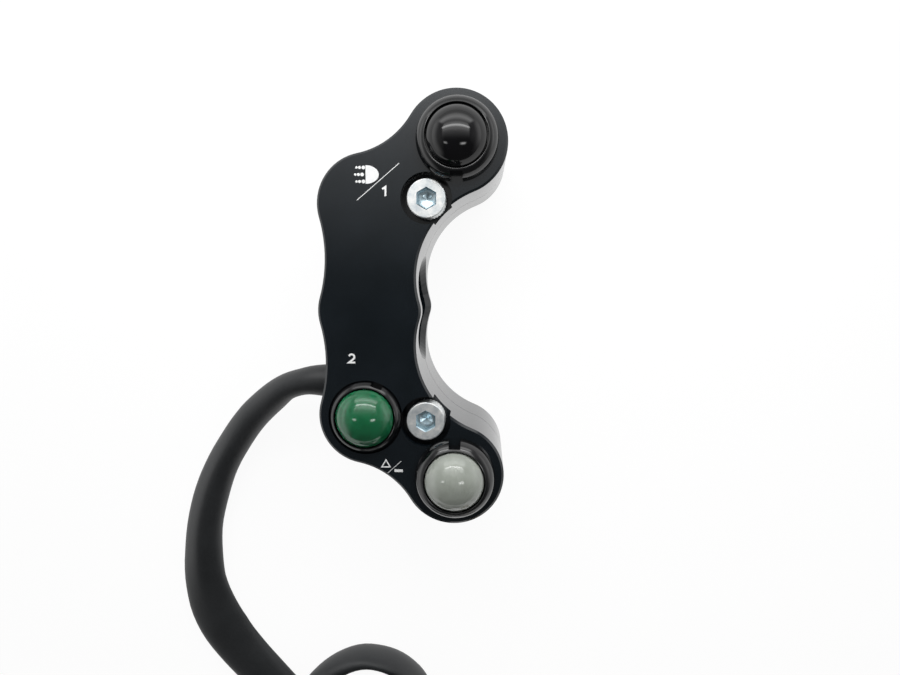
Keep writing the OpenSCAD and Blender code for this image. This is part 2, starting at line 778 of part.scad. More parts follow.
module at_plug() {
    translate(plug_back) rotate([0, 0, plug_angle]) children();
}

module plug_block(l, w, h, r) {
    translate([0, -w / 2, -h / 2]) difference() {
        cube([l, w, h]);
        for (y = [0, 1], z = [0, 1])
            translate([-over, y * w, z * h]) mirror([0, y, 0]) mirror([0, 0, z])
                difference() {
                    translate([0, -over, -over]) cube([l + 2 * over, r + over, r + over]);
                    translate([-over, r, r]) rotate([0, 90, 0]) cylinder(h = l + 4 * over, r = r);
                }
    }
}

module at_contacts() {
    for (row = [-1, 1], i = [-1, 0, 1])
        translate([0, i * pin_pitch, row * pin_pitch / 2]) children();
}

module connector_shell() {
    body_x = plug_neck + plug_l;
    color("#d8d6cc") at_plug() difference() {
        union() {
            rotate([0, 90, 0]) cylinder(h = plug_neck + over, r = cable_d / 2 + plug_wall);
            translate([plug_neck, 0, 0]) plug_block(plug_l, plug_w, plug_h, plug_round);
            translate([plug_neck + plug_round, -latch_w / 2, plug_h / 2 - over])
                cube([plug_l / 2, latch_w, over + latch_h]);
            translate([plug_neck + plug_round, -latch_w / 2, plug_h / 2 - over])
                cube([latch_h, latch_w, over + 2 * latch_h]);
        }
        translate([body_x - plug_mouth, -plug_w / 2 + plug_wall, -plug_h / 2 + plug_wall])
            cube([plug_mouth + over, plug_w - 2 * plug_wall, plug_h - 2 * plug_wall]);
        at_contacts()
            translate([body_x - plug_mouth - pin_root, -pin_w / 2 - fit, -pin_w / 2 - fit])
                cube([pin_root + over, pin_w + 2 * fit, pin_w + 2 * fit]);
        for (side = [-1, 1])
            translate([plug_neck + plug_l / 4, side * plug_w / 2, 0])
                cube([plug_l / 4, 1.2, plug_h / 2], center = true);
    }
}

module connector_pins() {
    color("#c8a85a") at_plug() at_contacts()
        translate([plug_neck + plug_l - plug_mouth - pin_root, -pin_w / 2, -pin_w / 2])
            cube([pin_root + plug_mouth - pin_shy, pin_w, pin_w]);
}

module black_bezel() { color("#0e0f10") at_switch(black) bezel(black); }
module black_cap() { color("#0b0c0d") at_switch(black) cap(black); }
module black_spring() { color("#b9bcc0") at_switch(black) spring(); }
module black_gasket() { color("#1d1d1e") at_switch(black) gasket(); }
module black_nut() { color("#9fa3a6") at_switch(black) nut(black); }
module black_bridge() { color("#c8a85a") at_switch(black) bridge(); }
module black_base() { color("#3a3b3d") at_switch(black) terminal_base(); }
module black_terminals() { color("#c8a85a") at_switch(black) terminals(); }

module green_bezel() { color("#0e0f10") at_switch(green) bezel(green); }
module green_cap() { color("#1f6b45") at_switch(green) cap(green); }
module green_spring() { color("#b9bcc0") at_switch(green) spring(); }
module green_gasket() { color("#1d1d1e") at_switch(green) gasket(); }
module green_nut() { color("#9fa3a6") at_switch(green) nut(green); }
module green_bridge() { color("#c8a85a") at_switch(green) bridge(); }
module green_base() { color("#3a3b3d") at_switch(green) terminal_base(); }
module green_terminals() { color("#c8a85a") at_switch(green) terminals(); }

module grey_bezel() { color("#0e0f10") at_switch(grey) bezel(grey); }
module grey_cap() { color("#a5aaa2") at_switch(grey) cap(grey); }
module grey_spring() { color("#b9bcc0") at_switch(grey) spring(); }
module grey_gasket() { color("#1d1d1e") at_switch(grey) gasket(); }
module grey_nut() { color("#9fa3a6") at_switch(grey) nut(grey); }
module grey_bridge() { color("#c8a85a") at_switch(grey) bridge(); }
module grey_base() { color("#3a3b3d") at_switch(grey) terminal_base(); }
module grey_terminals() { color("#c8a85a") at_switch(grey) terminals(); }

front_shell();
rear_shell();
clamp_screws();
black_bezel();
black_cap();
black_spring();
black_gasket();
black_nut();
black_bridge();
black_base();
black_terminals();
black_leads();
green_bezel();
green_cap();
green_spring();
green_gasket();
green_nut();
green_bridge();
green_base();
green_terminals();
green_leads();
grey_bezel();
grey_cap();
grey_spring();
grey_gasket();
grey_nut();
grey_bridge();
grey_base();
grey_terminals();
grey_leads();
cable_grommet();
cable_lead();
cable_coil();
cable_tail();
cable_tie();
connector_shell();
connector_pins();
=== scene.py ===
import math

import bmesh
import bpy
from mathutils import Matrix, Vector


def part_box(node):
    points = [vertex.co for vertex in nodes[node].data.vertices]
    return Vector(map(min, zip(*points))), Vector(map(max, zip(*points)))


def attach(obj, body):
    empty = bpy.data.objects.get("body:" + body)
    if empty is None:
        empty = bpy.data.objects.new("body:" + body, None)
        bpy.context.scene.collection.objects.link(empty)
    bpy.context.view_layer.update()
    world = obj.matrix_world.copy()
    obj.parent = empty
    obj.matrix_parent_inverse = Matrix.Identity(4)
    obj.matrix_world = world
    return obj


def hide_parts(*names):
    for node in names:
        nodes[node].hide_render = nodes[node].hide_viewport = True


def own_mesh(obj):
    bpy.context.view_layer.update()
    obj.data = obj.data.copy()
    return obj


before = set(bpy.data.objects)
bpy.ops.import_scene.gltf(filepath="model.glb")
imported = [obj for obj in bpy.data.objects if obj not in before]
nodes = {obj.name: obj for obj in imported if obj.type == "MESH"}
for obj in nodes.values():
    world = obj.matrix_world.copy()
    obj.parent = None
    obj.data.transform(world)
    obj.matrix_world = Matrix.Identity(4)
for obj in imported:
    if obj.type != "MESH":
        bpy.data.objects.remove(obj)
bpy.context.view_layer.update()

MM = 0.001
UP = Vector((0, 0, 1))
# The back of the housing, which lies on the table
BACK_Z = -14.7
scene = bpy.context.scene
scene.view_settings.view_transform = "Standard"

# Camera: fitted to the outline, the bezels and the screws of the photograph
CAMERA_PLACE = Vector((25.3, 7.7, 163.9)) * MM
CAMERA_AIM = Vector((17.9, -5.7, 16.3)) * MM
CAMERA_ROLL = math.radians(0.34)
CAMERA_NEAREST = 0.005
FOCAL_PX = 670
IMAGE_W_PX = 900
SENSOR_W = 36


def make_camera():
    data = bpy.data.cameras.new("camera")
    data.sensor_width = SENSOR_W
    data.lens = SENSOR_W * FOCAL_PX / IMAGE_W_PX
    data.clip_start = CAMERA_NEAREST
    camera = bpy.data.objects.new("camera", data)
    back = (CAMERA_PLACE - CAMERA_AIM).normalized()
    right = Vector((0, 1, 0)).cross(back).normalized()
    turn = Matrix((right, back.cross(right), back)).transposed().to_4x4()
    camera.matrix_world = Matrix.Translation(CAMERA_PLACE) @ turn @ Matrix.Rotation(CAMERA_ROLL, 4, "Z")
    scene.collection.objects.link(camera)
    scene.camera = camera


make_camera()

# Edges that turn more than this stay sharp
SHARP_DEG = 38


def make_piece(name, bm, body, *replaced):
    """A mesh piece in the frame, riding on a body and standing for the nodes that it replaces."""
    bmesh.ops.recalc_face_normals(bm, faces=bm.faces)
    for face in bm.faces:
        face.smooth = True
    mesh = bpy.data.meshes.new(name)
    bm.to_mesh(mesh)
    bm.free()
    mesh.set_sharp_from_angle(angle=math.radians(SHARP_DEG))
    piece = bpy.data.objects.new(name, mesh)
    scene.collection.objects.link(piece)
    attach(piece, body)
    if replaced:
        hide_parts(*replaced)
    return piece


def join_rings(bm, rings, looped=False):
    """Skins rings of equally many points, given in millimetres: a loop of rings, or a run with capped ends."""
    made = [[bm.verts.new(Vector(p) * MM) for p in ring] for ring in rings]
    count = len(made[0])
    for a, b in zip(made, made[1:] + made[:1] if looped else made[1:]):
        for k in range(count):
            n = (k + 1) % count
            bm.faces.new((a[k], a[n], b[n], b[k]))
    if not looped:
        bm.faces.new(made[0])
        bm.faces.new(made[-1])


# Cord: the sleeve's route, the same as its solids', in millimetres
SLEEVE_D = 8.4
LIE_Z = BACK_Z + SLEEVE_D / 2
SLEEVE_END = Vector((-6.4, -18.2, 0))
SLEEVE_OUT = Vector((-12.7, -18.2, 0))
# The coil: its middle, the degrees where it starts, lies, climbs and leaves, and its size
COIL_MIDDLE = (1, -194)
COIL_START = 150
COIL_IN = 360
COIL_CLIMB = 180
COIL_OUT = 30
COIL_D = 93.2
COIL_PITCH = 9.2
COIL_RISE = 9
# The heights of the coil's first turn and of the plug, and the run from one to the other
COIL_Z = LIE_Z + 0.9
PLUG_Z = BACK_Z + 6
TAIL_SLOPE = 30
LEAD_POINTS = [
    (-18.5, -18.6, -0.4), (-25, -21.2, -2.6), (-32, -26.5, -5.8), (-38.7, -33.5, -8.6),
    (-44.6, -42.5, -10.2), (-48.8, -53.5, LIE_Z), (-50.9, -66, LIE_Z), (-50.3, -78, LIE_Z),
    (-46.6, -89, LIE_Z), (-39.9, -98, LIE_Z), (-31.4, -106.6, LIE_Z), (-22.9, -114.8, LIE_Z),
    (-14.4, -121.8, LIE_Z), (-5.4, -125.2, LIE_Z), (2.8, -123.4, LIE_Z), (8.2, -117.6, LIE_Z),
    (10, -110, -10.2), (7.9, -102.3, -9.8), (2.2, -96.7, -9), (-5.6, -94.6, -7.6),
    (-13.4, -96.7, -5.4), (-19, -102.3, -3.2), (-21.5, -110, -1.3), (-22, -118.5, -0.8),
    (-22.7, -127.5, -2.4), (-24.6, -137, -5.2), (-27.5, -146.8, -8),
]
# How far the soft sleeve has gone flat: run from its inner end, half width, half height, lean to its left,
# and how far its skin has sunk between its top and its left side
SLEEVE_FLATTENING = [
    (0, 4.2, 4.2, 0, 0), (7, 4.0, 4.2, 0, 0), (13, 3.4, 4.3, 0.15, 0), (18, 3.5, 4.4, 0.3, 0),
    (24, 3.8, 4.3, 0.2, 0), (32, 4.1, 4.2, 0.2, 0), (44, 4.15, 4.1, -0.1, 0.12), (52, 4.35, 4.0, 0.05, 0.18),
    (60, 4.65, 3.8, 0.1, 0.18), (68, 4.9, 3.6, 0.3, 0.18), (76, 5.25, 3.3, 0.2, 0.18), (84, 5.8, 2.7, 0.6, 0.18),
    (92, 6.5, 2.1, 0.7, 0.14), (100, 6.8, 1.9, 0.4, 0.1), (107, 6.6, 2.0, 0.4, 0.05), (118, 6.0, 2.4, 0.1, 0),
    (135, 5.2, 3.0, 0, 0), (160, 4.6, 3.8, 0, 0), (178, 3.6, 4.4, 0, 0), (190, 2.6, 5.0, 0, 0),
    (200, 2.0, 5.3, 0, 0), (209, 2.6, 5.0, 0, 0), (222, 3.6, 4.5, 0, 0), (240, 4.2, 4.2, 0, 0),
    (2000, 4.2, 4.2, 0, 0),
]
SLEEVE_SIDES = 28
BEND_STEPS = 5
COIL_STEPS = 48
SLOPE_STEPS = 12
# Up to this height of its middle the sleeve lies on the table, and LIE_EASE higher it is free of it
LIE_TOP_Z = -9.6
LIE_EASE = 3
# The wires inside lift the skin a little: share of the size, and pace along the run
WIRE_SWELLS = [(0.012, 7), (0.008, 2.9)]
# The skin is pinched where it leaves the wall: middle and spread along the run, depth, and turn round the sleeve
PINCH_RUN = 17
PINCH_SPREAD = 4
PINCH_DEPTH = 0.198
PINCH_TURN = 2.6


def eased(t):
    """From 0 to 1 with a soft start and end."""
    t = max(0, min(1, t))
    return t * t * (3 - 2 * t)


def smooth_route(points, steps):
    """A smooth route through points, with the same curve as the solids' routes."""
    route = []
    for i in range(len(points) - 1):
        a, b = points[max(0, i - 1)], points[i]
        c, d = points[i + 1], points[min(len(points) - 1, i + 2)]
        for k in range(steps):
            t = k / steps
            route.append(0.5 * (
                2 * b + (c - a) * t + (2 * a - 5 * b + 4 * c - d) * t ** 2 + (3 * b - a - 3 * c + d) * t ** 3
            ))
    return route + [points[-1]]


def coil_point(turned):
    """The sleeve's middle after so many degrees of the coil, which climbs over itself in its last turn."""
    back = COIL_IN + COIL_CLIMB / 2
    radius = COIL_D / 2 - COIL_PITCH / 360 * (turned if turned < back else 2 * back - turned)
    climbed = max(0, min(1, (turned - COIL_IN) / COIL_CLIMB))
    angle = math.radians(COIL_START + turned)
    lift = COIL_RISE * (1 - math.cos(math.pi * climbed)) / 2
    return Vector((
        COIL_MIDDLE[0] + radius * math.cos(angle),
        COIL_MIDDLE[1] + radius * math.sin(angle),
        COIL_Z + lift,
    ))


def cord_route():
    """From the inner end through the bends, round the coil and down to the plug."""
    sweep = COIL_IN + COIL_CLIMB + COIL_OUT
    first = (coil_point(1) - coil_point(0)).normalized()
    last = (coil_point(sweep) - coil_point(sweep - 1)).normalized()
    head = coil_point(0) - SLEEVE_D * first
    tail = coil_point(sweep) + SLEEVE_D * last
    bends = [SLEEVE_OUT] + [Vector(p) for p in LEAD_POINTS] + [head - SLEEVE_D * first]
    route = [SLEEVE_END, (SLEEVE_END + SLEEVE_OUT) / 2] + smooth_route(bends, BEND_STEPS) + [head]
    steps = math.ceil(sweep * COIL_STEPS / 360)
    route += [coil_point(sweep * i / steps) for i in range(steps + 1)]
    route.append(tail)
    drop = PLUG_Z - tail.z
    for i in range(SLOPE_STEPS + 1):
        run = SLEEVE_D + TAIL_SLOPE * i / SLOPE_STEPS
        route.append(tail + last * run + UP * drop * eased(i / SLOPE_STEPS))
    route.append(tail + last * (TAIL_SLOPE + 2 * SLEEVE_D) + UP * drop)
    return route


def flattening(run):
    """The row of SLEEVE_FLATTENING at this run, without its run."""
    for here, there in zip(SLEEVE_FLATTENING, SLEEVE_FLATTENING[1:]):
        if run <= there[0]:
            t = (run - here[0]) / (there[0] - here[0])
            return [a + (b - a) * t for a, b in zip(here[1:], there[1:])]
    return SLEEVE_FLATTENING[-1][1:]


def make_sleeve():
    route = cord_route()
    runs = [0]
    for a, b in zip(route, route[1:]):
        runs.append(runs[-1] + (b - a).length)
    rings, path = [], []
    for i, (place, run) in enumerate(zip(route, runs)):
        ahead = (route[min(i + 1, len(route) - 1)] - route[max(i - 1, 0)]).normalized()
        across = ahead.cross(UP).normalized()
        up = across.cross(ahead)
        wide, high, lean, sunk = flattening(run)
        # a flat stretch sinks to the table, and one on its edge stands up from it
        lying = 1 - eased((place.z - LIE_TOP_Z) / LIE_EASE)
        middle = place + across * lean + UP * (high - SLEEVE_D / 2) * lying
        swell = 1 + sum(share * math.sin(run / pace) for share, pace in WIRE_SWELLS)
        pinch = PINCH_DEPTH * math.exp(-((run - PINCH_RUN) / PINCH_SPREAD) ** 2)
        ring = []
        for k in range(SLEEVE_SIDES):
            a = math.tau * k / SLEEVE_SIDES
            dent = 1 - pinch * max(0, math.cos(a + PINCH_TURN)) ** 3
            if a < math.pi / 2:
                dent -= sunk * math.sin(2 * a)
            ring.append(middle + (across * wide * math.cos(a) + up * high * math.sin(a)) * swell * dent)
        rings.append(ring)
        path.append(middle * MM)
    bm = bmesh.new()
    join_rings(bm, rings)
    sleeve = make_piece("sleeve", bm, "housing", "cable_lead", "cable_coil", "cable_tail")
    return sleeve


# Tie: a strap round the two strands of the coil, with its head on top and its cut end beside it
TIE_TURNED = 177
TIE_W = 5
TIE_T = 0.6
TIE_ROUND = 0.15
TIE_CLEAR = 0.3
TIE_STEPS = 64
TIE_HEAD = (5.6, 6.4, 3.6)
TIE_HEAD_BEVEL = 0.5
TIE_END = (9, 4.6, 1.1)
TIE_END_BEVEL = 0.2
TIE_END_OUT = 4.6
TIE_END_UP = 0.3


def add_block(bm, size, place, across, ahead, bevel):
    """A box with bevelled edges; across and ahead are the ways of its first two sides."""
    turn = Matrix((across, ahead, across.cross(ahead))).transposed().to_4x4()
    move = Matrix.Translation(place * MM) @ turn @ Matrix.Diagonal((*[x * MM for x in size], 1))
    made = bmesh.ops.create_cube(bm, size=1, matrix=move)["verts"]
    edges = list({e for v in made for e in v.link_edges})
    bmesh.ops.bevel(bm, geom=edges, offset=bevel * MM, segments=2, profile=0.5, affect="EDGES")


def make_tie():
    angle = math.radians(COIL_START + TIE_TURNED)
    out = Vector((math.cos(angle), math.sin(angle), 0))
    along = Vector((-math.sin(angle), math.cos(angle), 0))
    low, high = coil_point(TIE_TURNED), coil_point(TIE_TURNED + 360)
    lean = (high - low).normalized()
    side = lean.cross(along).normalized()
    reach = SLEEVE_D / 2 + TIE_CLEAR + TIE_T / 2
    w, t, c = TIE_W / 2, TIE_T / 2, TIE_ROUND
    section = [
        (-w + c, -t), (w - c, -t), (w, -t + c), (w, t - c), (w - c, t), (-w + c, t), (-w, t - c), (-w, -t + c),
    ]
    rings = []
    for k in range(TIE_STEPS):
        a = math.tau * (k + 0.5) / TIE_STEPS
        facing = side * math.cos(a) + lean * math.sin(a)
        strand = high if math.sin(a) > 0 else low
        rings.append([strand + facing * (reach + y) + along * x for x, y in section])
    bm = bmesh.new()
    join_rings(bm, rings, looped=True)
    head = high + UP * (reach + (TIE_T + TIE_HEAD[2]) / 2)
    add_block(bm, TIE_HEAD, head, out, along, TIE_HEAD_BEVEL)
    add_block(bm, TIE_END, head + out * TIE_END_OUT + UP * TIE_END_UP, out, along, TIE_END_BEVEL)
    return make_piece("tie", bm, "housing", "cable_tie")


tie = make_tie()
sleeve = make_sleeve()


# Clamp screws: socket heads with a knurled side, a chamfered socket and a rolled thread
SCREW_X = 12.5
SCREW_Y = 24.75
SCREW_SIDES = 72
HEAD_FOOT_Z = 10.9
HEAD_TOP_Z = 15.9
HEAD_ROUND = 0.3
HEAD_R = 4.35
HEAD_FOOT_CHAMFER = 0.3
KNURL_DEPTH = 0.12
KNURL_STOP = 0.8
SOCKET_AF = 4
SOCKET_FLOOR_Z = 13.3
SOCKET_CHAMFER = 0.2
# The flat of the head is kept flat from its rounded shoulder to just outside the socket
FLAT_INSET = 0.04
FLAT_INNER_R = 2.75
# The drill point in the socket's floor: from its rim to its tip
DRILL_RIM_R, DRILL_RIM_DEPTH = 1.2, 0.1
DRILL_TIP_R, DRILL_TIP_DEPTH = 0.2, 0.6
SHANK_R = 2.5
SHANK_TIP_Z = -9.1
SHANK_TIP_CHAMFER = 0.2
THREAD_TOP_Z = 6
THREAD_END = 0.2
THREAD_PITCH = 0.8
THREAD_DEPTH = 0.45
THREAD_STEPS = 6


def hexagon(a):
    """Radius of the socket's hexagon in the direction a."""
    return SOCKET_AF / 2 / math.cos((a + math.pi / 6) % (math.pi / 3) - math.pi / 6)


def make_screws():
    turns = [math.tau * k / SCREW_SIDES for k in range(SCREW_SIDES)]

    def ring(radius_at, z):
        return [(radius_at(k, a) * math.cos(a), radius_at(k, a) * math.sin(a), z) for k, a in enumerate(turns)]

    def thread(z):
        fade = min(1, (z - SHANK_TIP_Z) / THREAD_PITCH, (THREAD_TOP_Z - z) / THREAD_PITCH)
        start = 0.5 if z < 0 else 0

        def radius_at(k, a):
            wave = abs(2 * ((z / THREAD_PITCH - a / math.tau) % 1) - 1)
            return SHANK_R - THREAD_DEPTH * max(start * (1 - fade), wave * max(0, fade))

        return ring(radius_at, z)

    def plain(radius, z):
        return ring(lambda k, a: radius, z)

    def knurl(z):
        return ring(lambda k, a: HEAD_R - KNURL_DEPTH * (k % 2), z)

    def socket(share, extra, z):
        return ring(lambda k, a: share * hexagon(a) + extra, z)

    rings = [plain(SHANK_R - THREAD_DEPTH - SHANK_TIP_CHAMFER, SHANK_TIP_Z)]
    step = THREAD_PITCH / THREAD_STEPS
    rings += [thread(SHANK_TIP_Z + step * i) for i in range(1, int((THREAD_TOP_Z - SHANK_TIP_Z) / step))]
    rings += [plain(SHANK_R, THREAD_TOP_Z + THREAD_END), plain(SHANK_R, HEAD_FOOT_Z)]
    rings += [plain(HEAD_R - HEAD_FOOT_CHAMFER, HEAD_FOOT_Z), knurl(HEAD_FOOT_Z + HEAD_FOOT_CHAMFER)]
    rings += [knurl(HEAD_TOP_Z - KNURL_STOP)]
    # the rounded shoulder of the head
    for a in range(0, 91, 15):
        lean = math.radians(a)
        rings.append(plain(HEAD_R - HEAD_ROUND * (1 - math.cos(lean)), HEAD_TOP_Z - HEAD_ROUND * (1 - math.sin(lean))))
    rings += [plain(HEAD_R - HEAD_ROUND - FLAT_INSET, HEAD_TOP_Z), plain(FLAT_INNER_R, HEAD_TOP_Z)]
    rings += [socket(1, SOCKET_CHAMFER, HEAD_TOP_Z), socket(1, 0, HEAD_TOP_Z - SOCKET_CHAMFER)]
    rings += [socket(1, 0, SOCKET_FLOOR_Z), socket(0.8, 0, SOCKET_FLOOR_Z)]
    rings += [plain(DRILL_RIM_R, SOCKET_FLOOR_Z - DRILL_RIM_DEPTH)]
    rings += [plain(DRILL_TIP_R, SOCKET_FLOOR_Z - DRILL_TIP_DEPTH)]
    bm = bmesh.new()
    for side in (-1, 1):
        join_rings(bm, [[(x + SCREW_X, y + side * SCREW_Y, z) for x, y, z in r] for r in rings])
    return make_piece("socket_screws", bm, "housing", "clamp_screws")


screws = make_screws()

# Return springs: the helix of their solids, which the buttons squeeze
SWITCHES = ("black", "green", "grey")
SPRING_D = 6.8
SPRING_WIRE_D = 0.45
SPRING_CURLS = 5
SPRING_STEPS = 32
SPRING_SIDES = 10


def make_spring(switch):
    low, high = (Vector(corner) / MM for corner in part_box(f"{switch}_spring"))
    middle = (low + high) / 2
    foot, top = low.z + SPRING_WIRE_D / 2, high.z - SPRING_WIRE_D / 2
    steps = SPRING_STEPS * SPRING_CURLS
    turns = [math.tau * k / SPRING_SIDES for k in range(SPRING_SIDES)]
    rings = []
    for i in range(steps + 1):
        a = math.tau * SPRING_CURLS * i / steps
        out = Vector((math.cos(a), math.sin(a), 0))
        place = Vector((middle.x, middle.y, foot + (top - foot) * i / steps)) + out * SPRING_D / 2
        rings.append([place + (out * math.cos(t) + UP * math.sin(t)) * SPRING_WIRE_D / 2 for t in turns])
    bm = bmesh.new()
    join_rings(bm, rings)
    spring = make_piece(f"{switch}_return_spring", bm, "housing", f"{switch}_spring")
    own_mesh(spring)
    return spring


springs = [make_spring(switch) for switch in SWITCHES]

# Marks printed on the button face: pictograms with slashes, and plain numbers
FACE_Z = 16.3
INK_T = 0.03
DOT_SIDES = 20
NUMBER_W = 0.42
# A sharp corner of a line reaches out no further than a corner with this mitre
LEAST_MITRE = 0.35
LAMP_X, LAMP_Y = -0.75, 29.8
LAMP_W, LAMP_H = 2.9, 4.0


def add_plate(bm, outline):
    join_rings(bm, [[(x, y, FACE_Z + z) for x, y in outline] for z in (-INK_T, INK_T)])


def add_dot(bm, x, y, d):
    turns = [math.tau * k / DOT_SIDES for k in range(DOT_SIDES)]
    add_plate(bm, [(x + d / 2 * math.cos(a), y + d / 2 * math.sin(a)) for a in turns])


def add_stroke(bm, path, width, looped=False):
    """A line of ink along a path, with mitred corners."""
    points = [Vector(p) for p in path]
    rings = []
    for i, p in enumerate(points):
        before = points[i - 1] if i or looped else None
        after = points[(i + 1) % len(points)] if i + 1 < len(points) or looped else None
        ways = [(b - a).normalized() for a, b in ((before, p), (p, after)) if a is not None and b is not None]
        sides = [Vector((-w.y, w.x)) for w in ways]
        mitre = sum(sides, Vector((0, 0))).normalized()
        reach = width / 2 / max(LEAST_MITRE, mitre.dot(sides[0]))
        left, right = p + mitre * reach, p - mitre * reach
        rings.append([
            (left.x, left.y, FACE_Z - INK_T), (left.x, left.y, FACE_Z + INK_T),
            (right.x, right.y, FACE_Z + INK_T), (right.x, right.y, FACE_Z - INK_T),
        ])
    join_rings(bm, rings, looped)


def make_marks():
    bm = bmesh.new()
    # lamp with three dotted rays
    bow = [math.radians(a) for a in range(-90, 91, 10)]
    add_plate(bm, [(LAMP_X + LAMP_W * math.cos(a), LAMP_Y + LAMP_H / 2 * math.sin(a)) for a in bow])
    for row, shift in ((-1, 0), (0, -0.27), (1, 0)):
        for gap, d in ((0.48, 0.8), (1.32, 0.66), (2.0, 0.52)):
            add_dot(bm, LAMP_X + shift - gap, LAMP_Y + 1.5 * row, d)
    add_stroke(bm, [(-2.7, 24.25), (6.6, 32.2)], 0.15)
    # number one
    add_stroke(bm, [(2.9, 26.65), (3.6, 27.15), (3.6, 25.15)], NUMBER_W)
    # number two
    hook = [math.radians(a) for a in (165, 130, 95, 60, 25, -10, -40)]
    two = [(-4.1 + 0.62 * math.cos(a), -10.3 + 0.6 * math.sin(a)) for a in hook]
    add_stroke(bm, two + [(-4.72, -11.55), (-3.3, -11.55)], NUMBER_W)
    # triangle, slash and bar
    add_stroke(bm, [(2.6, -35.3), (4.5, -35.25), (3.56, -33.65)], 0.26, looped=True)
    add_stroke(bm, [(3.95, -36.7), (7.05, -33.85)], 0.11)
    add_stroke(bm, [(5.5, -36.1), (7.4, -36.1)], 0.6)
    return make_piece("printed_marks", bm, "housing")


marks = make_marks()


# Materials
def srgb(code):
    """An sRGB hex colour as linear RGBA."""
    channels = [int(code[i:i + 2], 16) / 255 for i in (1, 3, 5)]
    return (*[c / 12.92 if c <= 0.04045 else ((c + 0.055) / 1.055) ** 2.4 for c in channels], 1)


def add_node(tree, kind, inputs=None, **settings):
    """Adds a node with its settings; an input is a plain value, or an output to link."""
    node = tree.nodes.new(kind)
    for name, value in settings.items():
        setattr(node, name, value)
    for name, value in (inputs or {}).items():
        if isinstance(value, bpy.types.NodeSocket):
            tree.links.new(value, node.inputs[name])
        else:
            node.inputs[name].default_value = value
    return node


def make_finish(name, dark, light, grain_mm, rough, relief_mm, patch_mm=12, **sockets):
    """A surface that mottles between two near colours in patches, with a fine grain in gloss and relief."""
    material = bpy.data.materials.new(name)
    material.use_nodes = True
    tree = material.node_tree
    shader = tree.nodes["Principled BSDF"]
    place = add_node(tree, "ShaderNodeTexCoord").outputs["Object"]
    patches = add_node(tree, "ShaderNodeTexNoise", {
        "Vector": place, "Scale": 1 / (patch_mm * MM), "Detail": 3.0, "Roughness": 0.55,
    }).outputs["Fac"]
    grain = add_node(tree, "ShaderNodeTexNoise", {
        "Vector": place, "Scale": 1 / (grain_mm * MM), "Detail": 2.0, "Roughness": 0.6,
    }).outputs["Fac"]
    both = add_node(
        tree, "ShaderNodeMix", {"Factor": 0.35, "A": patches, "B": grain}, data_type="FLOAT"
    ).outputs["Result"]
    tint = add_node(tree, "ShaderNodeValToRGB", {"Fac": both})
    tint.color_ramp.elements[0].position = 0.35
    tint.color_ramp.elements[0].color = srgb(dark)
    tint.color_ramp.elements[1].position = 0.65
    tint.color_ramp.elements[1].color = srgb(light)
    gloss = add_node(tree, "ShaderNodeMapRange", {
        "Value": both, "From Min": 0.3, "From Max": 0.7, "To Min": rough[0], "To Max": rough[1],
    })
    tree.links.new(tint.outputs["Color"], shader.inputs["Base Color"])
    tree.links.new(gloss.outputs["Result"], shader.inputs["Roughness"])
    bump = add_node(tree, "ShaderNodeBump", {"Height": grain, "Strength": 1.0, "Distance": relief_mm * MM})
    tree.links.new(bump.outputs["Normal"], shader.inputs["Normal"])
    for socket, value in sockets.items():
        shader.inputs[socket.replace("_", " ")].default_value = value
    return material


# Bead-blasted aluminium, anodised and dyed black: a soft satin sheen with a fine even grit.
# The grit of the blasting is about 0.1 mm and is drawn at 0.35 mm so that it shows.
anodised = make_finish("anodised_aluminium_blasted", "#0e1418", "#151b20", 0.35, (0.12, 0.17), 0.003)

# ABS from a polished mould: deep black, with a mirror gloss that waves a little
bezel_abs = make_finish("ABS_gloss_moulded", "#08090a", "#0d0e10", 2.5, (0.1, 0.15), 0.004, Specular_IOR_Level=0.65)

# Polycarbonate caps from a polished mould: a clear deep gloss, dulled a little by fingers.
# Light goes a few millimetres into the coloured ones, which softens their shading.
MILKY = {"Subsurface_Weight": 1.0, "Subsurface_Radius": (1, 1, 1), "Subsurface_Scale": 5 * MM}
black_dome = make_finish(
    "polycarbonate_black_moulded", "#070708", "#0b0b0d", 3, (0.06, 0.1), 0.003, IOR=1.58, Specular_IOR_Level=0.36,
)
green_dome = make_finish("polycarbonate_green_moulded", "#14603c", "#1c7048", 3, (0.05, 0.1), 0.003, IOR=1.58, **MILKY)
grey_dome = make_finish("polycarbonate_grey_moulded", "#a0a59d", "#aaafa7", 3, (0.06, 0.12), 0.003, IOR=1.58, **MILKY)

# Steel screws, zinc plated: bright and cloudy in gloss. The blue inside the sockets, glossier and a little darker, is a
# painted bluish reflection.
zinc = make_finish("zinc_plated_steel", "#ccd3d6", "#f2f2f0", 0.6, (0.5, 0.62), 0.006, 2, Metallic=1.0)
socket_painted_reflection = make_finish("zinc_painted_blue_reflection", "#a9c3cf", "#cfe0e6", 0.6, (0.25, 0.36), 0.004, 2, Metallic=1.0)

# Drawn spring wire, grey with a fine grain in its gloss, and turned nuts plated with nickel, warmer and clearer
spring_wire = make_finish("spring_steel_drawn", "#8d9196", "#b4b8bc", 0.3, (0.22, 0.38), 0.002, 2, Metallic=1.0)
nickel = make_finish("nickel_plated_brass_turned", "#a9a69d", "#c6c3b9", 0.5, (0.18, 0.3), 0.003, 4, Metallic=1.0)

# Brass contacts, stamped and left bare: warm, with a dull bloom in patches
brass = make_finish("brass_stamped", "#b08a3c", "#d2b063", 0.5, (0.2, 0.42), 0.004, 3, Metallic=1.0)

# Glass-filled PBT: dark grey, matt, with a faint flow grain
pbt = make_finish("PBT_glass_filled_moulded", "#2c2d2f", "#3b3c3f", 0.6, (0.48, 0.62), 0.01, 6)

